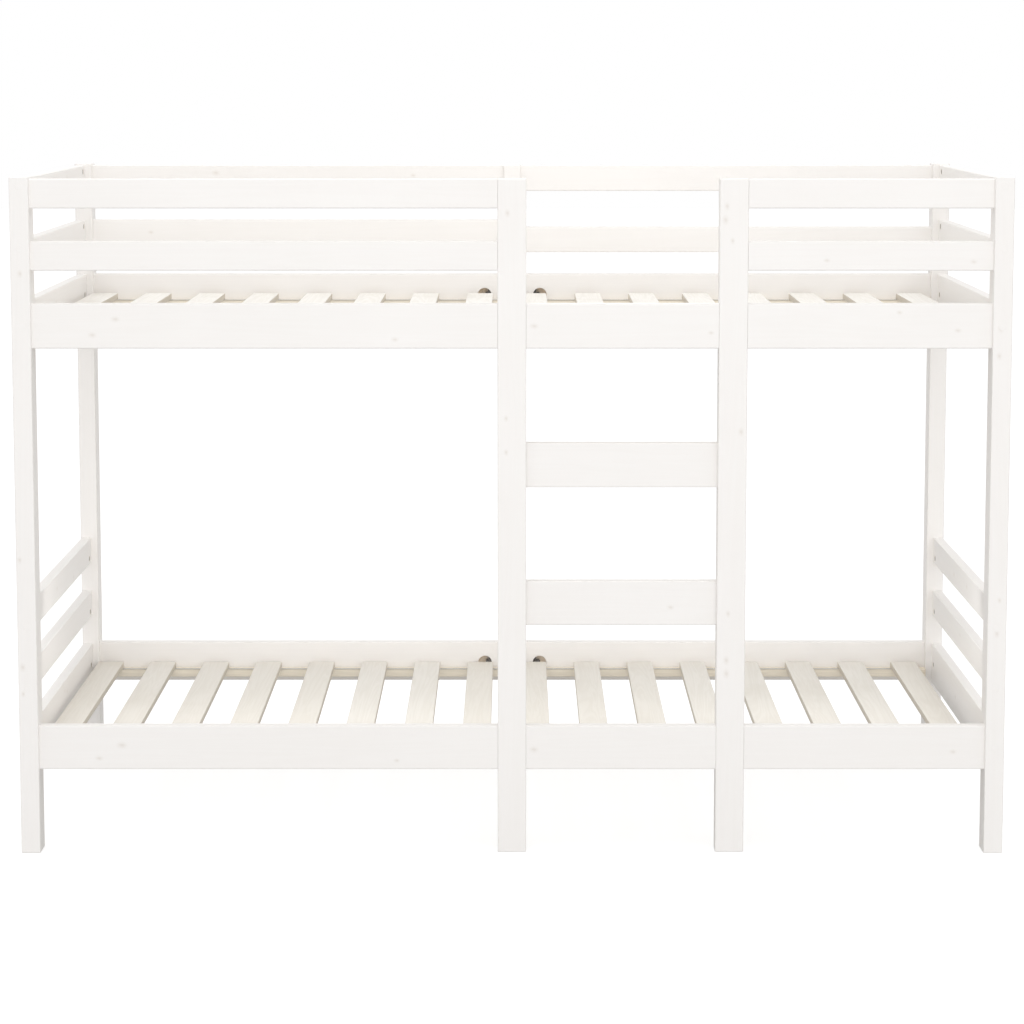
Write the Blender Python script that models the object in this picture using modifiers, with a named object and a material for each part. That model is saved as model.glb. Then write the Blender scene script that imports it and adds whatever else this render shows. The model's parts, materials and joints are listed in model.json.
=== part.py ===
"""Bunk bed with a fixed ladder: posts, boards, rungs, cleats, slat bases and middle bolts.

Run with: blender --background --python part.py

Metres, +Z up. The origin is on the floor under the middle of the bed. +X runs along the bed, the
ladder is on the -Y side, and "left" is -X. Every board ends a hair (FIT) short of its neighbour.
"""
import bpy
from math import radians

# Driving dimensions -------------------------------------------------------------------------
FIT = 0.0003                    # gap between pieces that touch

BED_LENGTH = 2.075
BED_WIDTH = 0.995
CORNER_POST_HEIGHT = 1.427
INNER_POST_HEIGHT = 1.423       # ladder posts and the middle back post
CORNER_POST_X = 0.040
CORNER_POST_Y = 0.060
LADDER_POST_X = 0.060
LADDER_POST_Y = 0.040
LADDER_OPENING = 0.400          # clear width between the ladder posts
LADDER_LEFT_X = 0.0             # centre of the left ladder post
LADDER_SETBACK = 0.010          # ladder posts' front behind the corner posts' front

BOARD_THICKNESS = 0.025
END_BOARD_THICKNESS = 0.023
END_BOARD_INNER_X = 1.013       # inner faces of the end boards from the middle
FRONT_BOARD_SETBACK = 0.0005    # front boards' face behind the ladder posts' face
RAIL_HEIGHT = 0.094
GUARD_HEIGHT = 0.061
LOWER_RAIL_Z = 0.179            # undersides of the boards
UPPER_RAIL_Z = 1.071
SECOND_GUARD_Z = 1.233
TOP_GUARD_Z = 1.362
LOW_END_GUARD_Z = 0.341
HIGH_END_GUARD_Z = 0.470
LOW_RUNG_Z = 0.4855
HIGH_RUNG_Z = 0.778
BACK_GUARD_DROP = 0.017         # the right half of the second back guard hangs lower

SLATS = 16
SLAT_PITCH = 0.1276
SLAT_WIDTH = 0.061
SLAT_THICKNESS = 0.015
SLAT_BELOW_RAIL = 0.045         # slats' upper face below the rail's upper edge
SLAT_CENTRE_X = -0.0126
SLAT_END_CLEARANCE = 0.0015     # slats' ends from the corner posts' inner faces
STRAP_WIDTH = 0.012
STRAP_THICKNESS = 0.0015
STRAP_INSET = 0.0005            # strap's outer edge from the slats' ends
FRONT_CLEAT_DEPTH = 0.040       # deeper, because the ladder posts keep the slats further in
BACK_CLEAT_DEPTH = 0.030
CLEAT_HEIGHT = 0.018

NUT_HOLE_RADIUS = 0.007         # barrel-nut holes in the end boards
NUT_HOLE_DEPTH = 0.018
NUT_FROM_BOARD_END = 0.030
NUT_RISE = 0.016                # holes sit above (upper bed) or below (lower bed) a guard's middle

POCKET_RADIUS = 0.0165          # round pockets beside the middle back post
POCKET_DEPTH = 0.020
POCKET_FROM_MIDDLE = 0.066
POCKET_DROP = 0.0035            # pockets and bolts below the middle of the rail
OPEN_HALF_SIZE = 0.020          # half the block that opens the washer's far side
BOLT_RADIUS = 0.004
BOLT_HOLE_RADIUS = 0.0045
BOLT_TIP = 0.003                # bolt past its nut
HEX_RADIUS = 0.0075             # 13 mm across flats
HEX_HEAD_THICKNESS = 0.0053
NUT_THICKNESS = 0.0065
WASHER_FLAT = 0.008             # washer's flat face from the pocket's centre
WASHER_HEIGHT = 0.014
SMALL_ROUND_SIDES = 12
LARGE_ROUND_SIDES = 24
HEX_SIDES = 6

POST_EDGE = 0.003
BOARD_EDGE = 0.0025
SLAT_EDGE = 0.0015
CLEAT_EDGE = 0.001

# Derived places -----------------------------------------------------------------------------
CORNER_X = (BED_LENGTH - CORNER_POST_X) / 2
CORNER_Y = (BED_WIDTH - CORNER_POST_Y) / 2
POST_INNER_X = CORNER_X - CORNER_POST_X / 2
POST_INNER_Y = CORNER_Y - CORNER_POST_Y / 2
LADDER_RIGHT_X = LADDER_LEFT_X + LADDER_OPENING + LADDER_POST_X
LADDER_FRONT_Y = -BED_WIDTH / 2 + LADDER_SETBACK
LADDER_BACK_Y = LADDER_FRONT_Y + LADDER_POST_Y
FRONT_BOARD_Y = LADDER_FRONT_Y + FRONT_BOARD_SETBACK + BOARD_THICKNESS / 2
BACK_BOARD_Y = CORNER_Y
RUNG_Y = LADDER_BACK_Y - BOARD_THICKNESS / 2
FRONT_INNER_Y = FRONT_BOARD_Y + BOARD_THICKNESS / 2
BACK_INNER_Y = BACK_BOARD_Y - BOARD_THICKNESS / 2
SLAT_BACK_Y = POST_INNER_Y - SLAT_END_CLEARANCE
SLAT_FRONT_Y = -SLAT_BACK_Y
BOLT_Y = BACK_BOARD_Y

# Open stretches between the posts, along X
HALF_LADDER_POST = LADDER_POST_X / 2
FRONT_SPANS = {
    "left": (-POST_INNER_X, LADDER_LEFT_X - HALF_LADDER_POST),
    "middle": (LADDER_LEFT_X + HALF_LADDER_POST, LADDER_RIGHT_X - HALF_LADDER_POST),
    "right": (LADDER_RIGHT_X + HALF_LADDER_POST, POST_INNER_X),
}
BACK_SPANS = {
    "left": (-POST_INNER_X, -CORNER_POST_X / 2),
    "right": (CORNER_POST_X / 2, POST_INNER_X),
}
RAILS = {"lower": LOWER_RAIL_Z, "upper": UPPER_RAIL_Z}
GUARDS = {"second": SECOND_GUARD_Z, "top": TOP_GUARD_Z}
SIDES = {"left": -1, "right": 1}


# Scene, collections and materials -----------------------------------------------------------
def clear_scene():
    for thing in list(bpy.data.objects):
        bpy.data.objects.remove(thing, do_unlink=True)


def new_collection(name):
    collection = bpy.data.collections.new(name)
    bpy.context.scene.collection.children.link(collection)
    return collection


def new_material(name, colour, roughness, metallic=0.0):
    material = bpy.data.materials.new(name)
    material.use_nodes = True
    shader = material.node_tree.nodes["Principled BSDF"]
    shader.inputs["Base Color"].default_value = (*colour, 1.0)
    shader.inputs["Roughness"].default_value = roughness
    shader.inputs["Metallic"].default_value = metallic
    return material


clear_scene()
BED = new_collection("bunk_bed")
CUTTERS = new_collection("cutters")
POST_PAINT = new_material("white_painted_post", (0.90, 0.88, 0.86), 0.45)
BOARD_PAINT = new_material("white_painted_board", (0.90, 0.88, 0.86), 0.45)
RUNG_PAINT = new_material("white_painted_rung", (0.90, 0.88, 0.86), 0.45)
CLEAT_WOOD = new_material("bare_cleat_wood", (0.62, 0.53, 0.40), 0.65)
SLAT_WOOD = new_material("pale_slat_wood", (0.80, 0.76, 0.68), 0.6)
BOLT_STEEL = new_material("dark_zinc_steel", (0.18, 0.17, 0.16), 0.4, 1.0)


def move_to(collection, thing):
    for old in list(thing.users_collection):
        old.objects.unlink(thing)
    collection.objects.link(thing)


def finish(thing, name, material):
    """Name a solid, give it its material and put it in the bed's collection."""
    thing.name = name
    thing.data.name = name
    thing.data.materials.clear()
    thing.data.materials.append(material)
    move_to(BED, thing)
    return thing


def make_cutter(thing, name):
    thing.name = name
    thing.hide_render = True
    thing.display_type = "WIRE"
    move_to(CUTTERS, thing)
    return thing


# Solid builders -----------------------------------------------------------------------------
def add_block(low, high):
    """A box between two corners, with its scale applied."""
    middle = [(a + b) / 2 for a, b in zip(low, high)]
    bpy.ops.mesh.primitive_cube_add(size=1, location=middle)
    block = bpy.context.object
    block.scale = [b - a for a, b in zip(low, high)]
    bpy.ops.object.transform_apply(location=False, rotation=False, scale=True)
    return block


def add_round(centre, axis, radius, length, sides):
    """A closed cylinder along the X or the Y axis."""
    turn = (0, radians(90), 0) if axis == "X" else (radians(90), 0, 0)
    bpy.ops.mesh.primitive_cylinder_add(
        vertices=sides, radius=radius, depth=length, location=centre, rotation=turn
    )
    return bpy.context.object


def round_edges(thing, width, segments):
    bevel = thing.modifiers.new("rounded_edges", "BEVEL")
    bevel.width = width
    bevel.segments = segments
    bevel.limit_method = "ANGLE"


def combine(thing, other, operation):
    boolean = thing.modifiers.new(operation.lower() + "_" + other.name, "BOOLEAN")
    boolean.operation = operation
    boolean.solver = "EXACT"
    boolean.object = other


def add_board(name, low, high, material=BOARD_PAINT, edge=BOARD_EDGE, segments=2):
    board = add_block(low, high)
    round_edges(board, edge, segments)
    return finish(board, name, material)


# Posts --------------------------------------------------------------------------------------
def add_post(name, x, y, size_x, size_y, height):
    low = (x - size_x / 2, y - size_y / 2, 0)
    high = (x + size_x / 2, y + size_y / 2, height)
    return add_board(name, low, high, POST_PAINT, POST_EDGE)


def build_posts():
    for end, sign in SIDES.items():
        for face, y in (("front", -CORNER_Y), ("back", CORNER_Y)):
            add_post(
                f"corner_post_{face}_{end}", sign * CORNER_X, y,
                CORNER_POST_X, CORNER_POST_Y, CORNER_POST_HEIGHT,
            )
    ladder_y = (LADDER_FRONT_Y + LADDER_BACK_Y) / 2
    for end, x in (("left", LADDER_LEFT_X), ("right", LADDER_RIGHT_X)):
        add_post(f"ladder_post_{end}", x, ladder_y, LADDER_POST_X, LADDER_POST_Y, INNER_POST_HEIGHT)
    return add_post(
        "middle_post_back", 0, CORNER_Y, CORNER_POST_X, CORNER_POST_Y, INNER_POST_HEIGHT
    )


# Boards along the bed -----------------------------------------------------------------------
def add_long_board(name, span, y, bottom, height):
    low = (span[0] + FIT, y - BOARD_THICKNESS / 2, bottom)
    high = (span[1] - FIT, y + BOARD_THICKNESS / 2, bottom + height)
    return add_board(name, low, high)


def build_front_boards():
    for place, span in FRONT_SPANS.items():
        for level, bottom in RAILS.items():
            add_long_board(f"{level}_rail_front_{place}", span, FRONT_BOARD_Y, bottom, RAIL_HEIGHT)
        if place == "middle":
            continue
        for level, bottom in GUARDS.items():
            add_long_board(
                f"{level}_guard_front_{place}", span, FRONT_BOARD_Y, bottom, GUARD_HEIGHT
            )


def build_back_boards():
    """Back rails and guards in two halves; returns the rails by level and side."""
    rails = {}
    for place, span in BACK_SPANS.items():
        for level, bottom in RAILS.items():
            rails[level, place] = add_long_board(
                f"{level}_rail_back_{place}", span, BACK_BOARD_Y, bottom, RAIL_HEIGHT
            )
        for level, bottom in GUARDS.items():
            dropped = level == "second" and place == "right"
            board_bottom = bottom - BACK_GUARD_DROP if dropped else bottom
            add_long_board(
                f"{level}_guard_back_{place}", span, BACK_BOARD_Y, board_bottom, GUARD_HEIGHT
            )
    return rails


# Boards across the ends ---------------------------------------------------------------------
def build_end_boards():
    boards = {
        "lower_rail_end": (LOWER_RAIL_Z, RAIL_HEIGHT, 0),
        "lower_end_guard_low": (LOW_END_GUARD_Z, GUARD_HEIGHT, -NUT_RISE),
        "lower_end_guard_high": (HIGH_END_GUARD_Z, GUARD_HEIGHT, -NUT_RISE),
        "upper_rail_end": (UPPER_RAIL_Z, RAIL_HEIGHT, 0),
        "second_guard_end": (SECOND_GUARD_Z, GUARD_HEIGHT, NUT_RISE),
        "top_guard_end": (TOP_GUARD_Z, GUARD_HEIGHT, NUT_RISE),
    }
    half_length = POST_INNER_Y - FIT
    for end, sign in SIDES.items():
        x_faces = sorted((sign * END_BOARD_INNER_X, sign * (END_BOARD_INNER_X + END_BOARD_THICKNESS)))
        for kind, (bottom, height, rise) in boards.items():
            low = (x_faces[0], -half_length, bottom)
            high = (x_faces[1], half_length, bottom + height)
            board = add_board(f"{kind}_{end}", low, high)
            for y in (-half_length + NUT_FROM_BOARD_END, half_length - NUT_FROM_BOARD_END):
                centre = (sign * END_BOARD_INNER_X, y, bottom + height / 2 + rise)
                hole = add_round(centre, "X", NUT_HOLE_RADIUS, 2 * NUT_HOLE_DEPTH, SMALL_ROUND_SIDES)
                make_cutter(hole, f"nut_hole_{kind}_{end}_{'front' if y < 0 else 'back'}")
                combine(board, hole, "DIFFERENCE")


# Ladder rungs -------------------------------------------------------------------------------
def build_rungs():
    start, stop = FRONT_SPANS["middle"]
    for name, bottom in (("ladder_rung_low", LOW_RUNG_Z), ("ladder_rung_high", HIGH_RUNG_Z)):
        low = (start + FIT, RUNG_Y - BOARD_THICKNESS / 2, bottom)
        high = (stop - FIT, RUNG_Y + BOARD_THICKNESS / 2, bottom + RAIL_HEIGHT)
        add_board(name, low, high, RUNG_PAINT)


# Cleats and slat bases ----------------------------------------------------------------------
def slat_underside(rail_bottom):
    return rail_bottom + RAIL_HEIGHT - SLAT_BELOW_RAIL - SLAT_THICKNESS


def build_cleats():
    for level, rail_bottom in RAILS.items():
        top = slat_underside(rail_bottom) - STRAP_THICKNESS
        rows = (
            ("front", FRONT_SPANS, FRONT_INNER_Y + FIT, FRONT_INNER_Y + FRONT_CLEAT_DEPTH),
            ("back", BACK_SPANS, BACK_INNER_Y - BACK_CLEAT_DEPTH, BACK_INNER_Y - FIT),
        )
        for face, spans, near, far in rows:
            for place, (start, stop) in spans.items():
                add_board(
                    f"{level}_cleat_{face}_{place}",
                    (start + FIT, near, top - CLEAT_HEIGHT), (stop - FIT, far, top),
                    CLEAT_WOOD, CLEAT_EDGE, 1,
                )


def build_slat_bases():
    """A slat base is a row of slats on two webbing straps: one body, as it is unrolled."""
    first_x = SLAT_CENTRE_X - SLAT_PITCH * (SLATS - 1) / 2
    last_x = SLAT_CENTRE_X + SLAT_PITCH * (SLATS - 1) / 2
    for level, rail_bottom in RAILS.items():
        bottom = slat_underside(rail_bottom)
        base = add_block(
            (first_x - SLAT_WIDTH / 2, SLAT_FRONT_Y, bottom),
            (first_x + SLAT_WIDTH / 2, SLAT_BACK_Y, bottom + SLAT_THICKNESS),
        )
        round_edges(base, SLAT_EDGE, 1)
        row = base.modifiers.new("row_of_slats", "ARRAY")
        row.count = SLATS
        row.use_relative_offset = False
        row.use_constant_offset = True
        row.constant_offset_displace = (SLAT_PITCH, 0, 0)
        finish(base, f"{level}_slat_base", SLAT_WOOD)
        strap_bottom = bottom - STRAP_THICKNESS + FIT
        strap_inset = STRAP_INSET + STRAP_WIDTH / 2
        for face, y in (("front", SLAT_FRONT_Y + strap_inset), ("back", SLAT_BACK_Y - strap_inset)):
            strap = add_block(
                (first_x - SLAT_WIDTH / 4, y - STRAP_WIDTH / 2, strap_bottom),
                (last_x + SLAT_WIDTH / 4, y + STRAP_WIDTH / 2, bottom + FIT),
            )
            make_cutter(strap, f"strap_{level}_{face}")
            combine(base, strap, "UNION")


# Bolted joint at the middle back post -------------------------------------------------------
def build_middle_joints(post, rails):
    """One bolt at each rail level, through the post, into a round pocket in each rail half."""
    washer_face = POCKET_FROM_MIDDLE - WASHER_FLAT
    for level, rail_bottom in RAILS.items():
        z = rail_bottom + RAIL_HEIGHT / 2 - POCKET_DROP
        bolt_hole = add_round(
            (0, BOLT_Y, z), "X", BOLT_HOLE_RADIUS, 2 * POCKET_FROM_MIDDLE, SMALL_ROUND_SIDES
        )
        make_cutter(bolt_hole, f"bolt_hole_{level}")
        combine(post, bolt_hole, "DIFFERENCE")
        for place, sign in SIDES.items():
            x = sign * POCKET_FROM_MIDDLE
            rail = rails[level, place]
            pocket = add_round(
                (x, BACK_INNER_Y, z), "Y", POCKET_RADIUS, 2 * POCKET_DEPTH, LARGE_ROUND_SIDES
            )
            make_cutter(pocket, f"pocket_{level}_{place}")
            combine(rail, pocket, "DIFFERENCE")
            combine(rail, bolt_hole, "DIFFERENCE")
            washer = add_round(
                (x, BOLT_Y, z), "Y", POCKET_RADIUS - FIT, WASHER_HEIGHT, LARGE_ROUND_SIDES
            )
            finish(washer, f"half_moon_washer_{level}_{place}", BOLT_STEEL)
            edges = sorted((sign * washer_face, sign * 2 * POCKET_FROM_MIDDLE))
            open_half = add_block(
                (edges[0], BOLT_Y - OPEN_HALF_SIZE, z - OPEN_HALF_SIZE),
                (edges[1], BOLT_Y + OPEN_HALF_SIZE, z + OPEN_HALF_SIZE),
            )
            make_cutter(open_half, f"open_half_{level}_{place}")
            combine(washer, open_half, "DIFFERENCE")
            combine(washer, bolt_hole, "DIFFERENCE")

        head_x = -washer_face - FIT - HEX_HEAD_THICKNESS / 2
        shank_end = washer_face + NUT_THICKNESS + BOLT_TIP
        bolt = add_round(
            ((head_x + shank_end) / 2, BOLT_Y, z), "X", BOLT_RADIUS, shank_end - head_x,
            SMALL_ROUND_SIDES,
        )
        finish(bolt, f"middle_bolt_{level}", BOLT_STEEL)
        head = add_round((head_x, BOLT_Y, z), "X", HEX_RADIUS, HEX_HEAD_THICKNESS, HEX_SIDES)
        make_cutter(head, f"bolt_head_{level}")
        combine(bolt, head, "UNION")
        nut = add_round(
            (washer_face + FIT + NUT_THICKNESS / 2, BOLT_Y, z), "X", HEX_RADIUS, NUT_THICKNESS,
            HEX_SIDES,
        )
        finish(nut, f"hex_nut_{level}", BOLT_STEEL)
        combine(nut, bolt_hole, "DIFFERENCE")


middle_post = build_posts()
build_front_boards()
back_rails = build_back_boards()
build_end_boards()
build_rungs()
build_cleats()
build_slat_bases()
build_middle_joints(middle_post, back_rails)
print(f"{len(BED.objects)} pieces, {len(CUTTERS.objects)} cutters")
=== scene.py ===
# %% [markdown]
# # A bunk bed with a fixed ladder
# The bed is a kit of planed pine. Four corner posts, two ladder posts and one post in the middle
# of the back are joined by rails, guards and end boards, all sprayed with white paint, and two
# rows of bare slats carry the mattresses. The measured model is loaded as a frame. Every board
# built below asks that frame for its own box, so no board is fitted by eye, and a change of size
# in the model carries through to the finish.

# %% Load the measured frame
import json
import random
from math import pi, radians

import bmesh
import bpy
from mathutils import Matrix, Vector

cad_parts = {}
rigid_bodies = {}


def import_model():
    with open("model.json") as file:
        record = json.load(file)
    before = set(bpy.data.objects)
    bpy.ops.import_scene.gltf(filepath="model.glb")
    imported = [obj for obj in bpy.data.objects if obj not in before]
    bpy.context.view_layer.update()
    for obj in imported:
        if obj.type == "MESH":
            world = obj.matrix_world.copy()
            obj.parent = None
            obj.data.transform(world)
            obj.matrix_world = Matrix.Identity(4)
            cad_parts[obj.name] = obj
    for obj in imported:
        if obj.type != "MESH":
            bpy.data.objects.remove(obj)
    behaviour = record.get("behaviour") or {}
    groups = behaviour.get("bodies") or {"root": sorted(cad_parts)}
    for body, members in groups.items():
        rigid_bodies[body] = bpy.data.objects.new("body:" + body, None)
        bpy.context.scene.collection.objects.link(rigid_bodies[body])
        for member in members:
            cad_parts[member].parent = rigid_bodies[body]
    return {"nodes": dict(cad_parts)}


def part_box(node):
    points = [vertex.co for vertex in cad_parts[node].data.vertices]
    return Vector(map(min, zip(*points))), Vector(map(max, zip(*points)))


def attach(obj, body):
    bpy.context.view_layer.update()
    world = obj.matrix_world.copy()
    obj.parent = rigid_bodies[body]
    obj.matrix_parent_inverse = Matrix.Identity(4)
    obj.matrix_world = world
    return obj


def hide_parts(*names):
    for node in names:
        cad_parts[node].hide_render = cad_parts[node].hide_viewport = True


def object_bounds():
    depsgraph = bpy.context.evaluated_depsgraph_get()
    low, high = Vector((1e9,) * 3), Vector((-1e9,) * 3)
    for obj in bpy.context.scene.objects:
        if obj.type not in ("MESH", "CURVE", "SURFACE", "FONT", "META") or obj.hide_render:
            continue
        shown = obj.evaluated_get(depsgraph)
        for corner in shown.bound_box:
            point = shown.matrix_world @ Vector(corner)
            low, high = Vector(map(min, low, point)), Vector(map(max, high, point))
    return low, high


for thing in list(bpy.data.objects):
    bpy.data.objects.remove(thing)
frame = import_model()
scene = bpy.context.scene


def link_object(name, data):
    """A new object in the scene."""
    made = bpy.data.objects.new(name, data)
    scene.collection.objects.link(made)
    return made


CAD_LOW, CAD_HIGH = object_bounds()
BED_SIZE = CAD_HIGH - CAD_LOW
print(len(frame["nodes"]), "measured pieces,", " x ".join(f"{part:.3f}" for part in BED_SIZE), "m")

# %% [markdown]
# ## Camera
# A catalogue picture of a bed is taken from standing height, straight at the long side, with a
# long lens. A level camera with a rising front would keep every post upright, but that offset
# also pushes the bed off the middle when somebody walks round it. So most of the fall is a small
# tilt of the camera, and only a little of it is lens shift.

# %% Camera
SENSOR_WIDTH = 36.0                                # mm
FOCAL_LENGTH = 105.6                               # mm
EYE = Vector((0.005, -6.705, 1.637))
LENS_SHIFT = (-0.00225, -0.08)
CAMERA_TILT = radians(6.7523)                      # below level

camera_data = bpy.data.cameras.new("camera")
camera_data.sensor_width = SENSOR_WIDTH
camera_data.lens = FOCAL_LENGTH
camera_data.shift_x, camera_data.shift_y = LENS_SHIFT
camera = link_object("camera", camera_data)
camera.location = EYE
camera.rotation_euler = (pi / 2 - CAMERA_TILT, 0, 0)
scene.camera = camera
print(f"camera tilted {CAMERA_TILT:.4f} rad")

# %% [markdown]
# ## Small helpers for node trees
# Shader trees and geometry trees are wired the same way: make a node, set its options, then give
# each input either a number or a link. One helper does that for both kinds, and another starts a
# reusable group with named sockets, so the groups below read as short recipes.

# %% Helpers for node trees
def put(tree, value, socket):
    """Set a socket to a value, or link it to another node's socket."""
    if isinstance(value, bpy.types.NodeSocket):
        tree.links.new(value, socket)
    else:
        socket.default_value = value


def node(tree, kind, inputs=None, **options):
    """Add a node with its options and its inputs."""
    made = tree.nodes.new(kind)
    for key, value in options.items():
        setattr(made, key, value)
    for key, value in (inputs or {}).items():
        put(tree, value, made.inputs[key])
    return made


def start_group(name, kind, inputs, outputs):
    """Start a node group. Inputs map a label to (socket type, default), outputs to a type."""
    tree = bpy.data.node_groups.new(name, kind)
    for label, (socket_type, value) in inputs.items():
        socket = tree.interface.new_socket(label, in_out="INPUT", socket_type=socket_type)
        if value is not None:
            socket.default_value = value
    for label, socket_type in outputs.items():
        tree.interface.new_socket(label, in_out="OUTPUT", socket_type=socket_type)
    start = tree.nodes.new("NodeGroupInput")
    end = tree.nodes.new("NodeGroupOutput")
    return tree, start.outputs, end


def maths(tree, operation, first, second=0.0, third=0.0, clamp=False):
    """One Math node; returns its result."""
    made = node(
        tree, "ShaderNodeMath", {0: first, 1: second, 2: third},
        operation=operation, use_clamp=clamp,
    )
    return made.outputs[0]


def span(tree, value, low, high, to_low=0.0, to_high=1.0):
    """Smoothly remap a value between two limits; returns the result."""
    made = node(
        tree, "ShaderNodeMapRange",
        {"Value": value, "From Min": low, "From Max": high, "To Min": to_low, "To Max": to_high},
        interpolation_type="SMOOTHSTEP",
    )
    return made.outputs["Result"]


def blend_colours(tree, amount, first, second):
    """Mix two colours; each may be a value or a link."""
    made = node(tree, "ShaderNodeMix", {0: amount, 6: first, 7: second}, data_type="RGBA")
    return made.outputs[2]


FLOAT, VECTOR = "NodeSocketFloat", "NodeSocketVector"
print("helpers ready")

# %% [markdown]
# ## Light and floor
# White furniture on a white ground needs light from everywhere, and then a little more from the
# front so that the faces read brighter than the sides. The surrounding white does most of the
# work, and it is seen a little brighter than it shines, as a lit paper backdrop is. Two panels
# stand in front, one low and one high, and a third hangs over the bed, all of them large enough
# to leave no hard shadow. A weak strip inside each bed lifts the back rails, and the camera does
# not see it. The floor glows, like a light table, so that the bed's own shadow stays pale, and
# it glows more to the camera than it lights. Standard colour is used, because a filmic curve
# would grey the whites.

# %% Light and floor
WHITE = (1.0, 1.0, 1.0, 1.0)
SURROUND_LIGHT = 0.88
SURROUND_SEEN = 1.0
FLOOR_SIZE = 60.0
FLOOR_COLOUR = (0.45, 0.45, 0.45, 1.0)
FLOOR_GLOW_SEEN = 0.68
FLOOR_GLOW_CAST = 0.18
FILL_POWERS = {"lower": 2.0, "upper": 0.5}         # W
FILL_Y = -0.32
FILL_ABOVE_RAIL = 0.25
FILL_WIDTH, FILL_HEIGHT = 1.9, 0.3

scene.view_settings.view_transform = "Standard"
scene.world = bpy.data.worlds.new("white_room")
scene.world.use_nodes = True
room = scene.world.node_tree
background = room.nodes["Background"]
background.inputs["Color"].default_value = WHITE
seen = node(room, "ShaderNodeLightPath").outputs["Is Camera Ray"]
brightness = maths(room, "MULTIPLY_ADD", seen, SURROUND_SEEN - SURROUND_LIGHT, SURROUND_LIGHT)
room.links.new(brightness, background.inputs["Strength"])


def add_panel(name, place, target, width, height, power):
    """A soft rectangular lamp that faces a point."""
    data = bpy.data.lights.new(name, "AREA")
    data.shape = "RECTANGLE"
    data.size, data.size_y = width, height
    data.energy = power
    lamp = link_object(name, data)
    lamp.location = place
    facing = Vector(target) - Vector(place)
    lamp.rotation_euler = facing.to_track_quat("-Z", "Y").to_euler()
    return lamp


BED_MIDDLE = (CAD_LOW + CAD_HIGH) / 2
add_panel("front_panel", (0.6, -8.0, 1.0), BED_MIDDLE, 6.0, 2.0, 114)
add_panel("high_panel", (0.4, -7.0, 7.5), BED_MIDDLE, 6.0, 4.0, 34)
for level, power in FILL_POWERS.items():
    rail_low, rail_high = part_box(f"{level}_rail_back_left")
    place = (0.0, FILL_Y, rail_high.z + FILL_ABOVE_RAIL)
    target = (0.0, rail_low.y, rail_low.z)
    fill = add_panel(f"{level}_fill", place, target, FILL_WIDTH, FILL_HEIGHT, power)
    fill.visible_camera = False
add_panel("ceiling_panel", (0.0, -0.8, 5.0), BED_MIDDLE, 5.0, 4.0, 80)

floor_mesh = bpy.data.meshes.new("studio_floor")
half_floor = FLOOR_SIZE / 2
floor_mesh.from_pydata(
    [(x, y, 0) for x in (-half_floor, half_floor) for y in (-half_floor, half_floor)],
    [], [(0, 2, 3, 1)],
)
floor = link_object("studio_floor", floor_mesh)
floor_paint = bpy.data.materials.new("pale_floor")
floor_paint.use_nodes = True
floor_shader = floor_paint.node_tree.nodes["Principled BSDF"]
floor_shader.inputs["Base Color"].default_value = FLOOR_COLOUR
floor_shader.inputs["Roughness"].default_value = 0.9
floor_shader.inputs["Specular IOR Level"].default_value = 0.1
floor_shader.inputs["Emission Color"].default_value = WHITE
floor_tree = floor_paint.node_tree
floor_seen = node(floor_tree, "ShaderNodeLightPath").outputs["Is Camera Ray"]
glow = maths(
    floor_tree, "MULTIPLY_ADD", floor_seen, FLOOR_GLOW_SEEN - FLOOR_GLOW_CAST, FLOOR_GLOW_CAST
)
floor_tree.links.new(glow, floor_shader.inputs["Emission Strength"])
floor_mesh.materials.append(floor_paint)

# %% [markdown]
# ## Grain
# Pine grows in rings, so a planed face shows long, slightly wavy streaks that run along the
# board. Noise stretched in one direction gives exactly that: the point is multiplied by a small
# number along the board and by large ones across it. The same group serves posts, boards and
# slats, because only the stretch and the strength differ. It gives a broad ring pattern, and a
# fine fibre pattern for the bump.

# %% Grain group
RINGS_PER_NOISE = 9.0           # how many rings one full swing of the noise makes
RING_LIMITS = (0.02, 0.46)
FIBRE_SCALE = 11.0              # the fibres are this much finer than the rings

grain, grain_in, grain_out = start_group(
    "pine_grain", "ShaderNodeTree",
    {"Point": (VECTOR, None), "Stretch": (VECTOR, (1.2, 26.0, 26.0)), "Waviness": (FLOAT, 0.6)},
    {"Rings": FLOAT, "Fibre": FLOAT},
)
stretched = node(
    grain, "ShaderNodeVectorMath", {0: grain_in["Point"], 1: grain_in["Stretch"]},
    operation="MULTIPLY",
)
ring_noise = node(
    grain, "ShaderNodeTexNoise",
    {"Vector": stretched.outputs[0], "Scale": 1.0, "Detail": 3.0, "Roughness": 0.55,
     "Distortion": grain_in["Waviness"]},
)
ring_turns = maths(grain, "MULTIPLY", ring_noise.outputs["Fac"], RINGS_PER_NOISE)
ring_saw = maths(grain, "FRACT", ring_turns)
rings = span(grain, maths(grain, "PINGPONG", ring_saw, 0.5), *RING_LIMITS)
fibre_noise = node(
    grain, "ShaderNodeTexNoise",
    {"Vector": stretched.outputs[0], "Scale": FIBRE_SCALE, "Detail": 2.0, "Roughness": 0.6},
)
grain.links.new(rings, grain_out.inputs["Rings"])
grain.links.new(fibre_noise.outputs["Fac"], grain_out.inputs["Fibre"])
print("grain group:", len(grain.nodes), "nodes")

# %% [markdown]
# ## Knots
# White paint never quite hides a knot: the resin stains it a little warm, and the hard wood under
# it stands a hair proud. A knot goes through the board, so it is an oval column: its distance is
# measured only across the face, and the squash input is zero along the thickness. Each knot is
# one use of the group, placed by its centre, which is simpler than painting a mask.

# %% Knot group
STAIN_LIMITS = (1.35, 0.55)     # in knot radii: none outside the first, full inside the second
HEART_LIMITS = (0.75, 0.35)

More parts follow.
